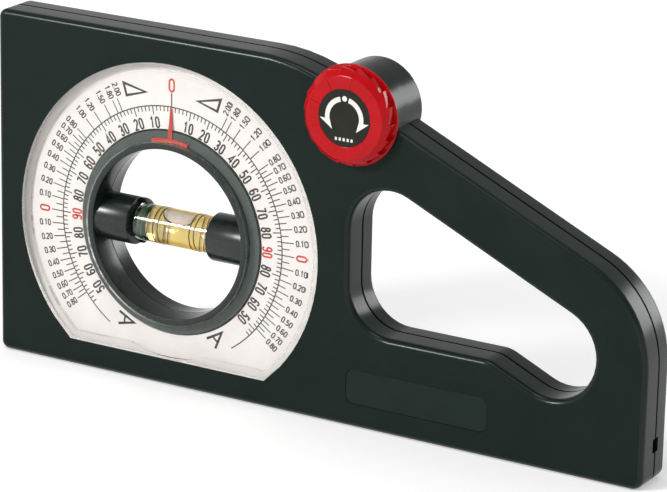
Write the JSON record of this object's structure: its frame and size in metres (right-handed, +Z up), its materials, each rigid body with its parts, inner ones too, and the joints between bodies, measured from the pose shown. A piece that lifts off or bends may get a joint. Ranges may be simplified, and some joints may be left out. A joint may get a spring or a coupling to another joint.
{
  "type": "angle finder",
  "caption": "Hand-held angle and slope finder: a knob turns a ring with a level vial and a pointer over a round dial, in a flat body with a long base and a hand opening.",
  "frame": {"origin": "middle of the base's length, on the base face, on the body's mid plane", "axes": "+X along the base to the sloping end, the dial faces -Y, +Z up"},
  "size_m": [0.22, 0.0208, 0.1101],
  "materials": {
    "body_front": "fine-grained moulded plastic",
    "body_rear": "fine-grained moulded plastic",
    "dial_white": "printed plate",
    "clear_cover": "clear moulded plastic",
    "label": "smooth plate",
    "ring_front": "smooth moulded plastic",
    "ring_rear": "smooth moulded plastic",
    "gear_plastic": "moulded acetal",
    "pointer_red": "red plastic",
    "screw_dark": "blackened steel",
    "vial_clear": "clear plastic",
    "vial_plug": "tinted plastic",
    "vial_liquid": "tinted liquid",
    "vial_bubble": "air bubble",
    "vial_mark": "dark marks",
    "steel": "ground steel",
    "bush_brass": "turned brass",
    "washer_rubber": "soft rubber",
    "felt": "pressed felt",
    "knob_red": "glossy red plastic",
    "disc_dark": "printed disc"
  },
  "bodies": {
    "case": {"front_case": "body_front", "rear_case": "body_rear", "scale_plate": "dial_white", "dial_cover": "clear_cover", "label_plate": "label", "idler_pin": "steel", "knob_bush": "bush_brass", "friction_ring": "felt", "case_screws": "screw_dark", "locating_pins": "steel"},
    "rotor": {"rotor_front": "ring_front", "rotor_rear": "ring_rear", "ring_gear": "gear_plastic", "pointer": "pointer_red", "rotor_screws": "screw_dark", "vial_tube": "vial_clear", "vial_plugs": "vial_plug", "vial_liquid": "vial_liquid", "vial_bubble": "vial_bubble", "vial_rings": "vial_mark"},
    "idler": {"idler_gear": "gear_plastic"},
    "knob": {"knob": "knob_red", "knob_disc": "disc_dark", "knob_screw": "steel", "pinion_shaft": "gear_plastic", "friction_washer": "washer_rubber"}
  },
  "joints": [
    {"name": "rotor_turn", "type": "hinge", "parent": "case", "child": "rotor", "pos_m": [-0.049, 0, 0.0476], "axis": [0, 1, 0], "continuous": true},
    {"name": "idler_turn", "type": "hinge", "parent": "case", "child": "idler", "pos_m": [-0.00625, 0, 0.08607], "axis": [0, 1, 0], "continuous": true},
    {"name": "knob_turn", "type": "hinge", "parent": "case", "child": "knob", "pos_m": [0.0144, 0, 0.095], "axis": [0, 1, 0], "continuous": true}
  ],
  "couplings": [
    {"joint": "idler_turn", "follows": "rotor_turn", "ratio": -3.2593},
    {"joint": "knob_turn", "follows": "rotor_turn", "ratio": 4.8889}
  ]
}
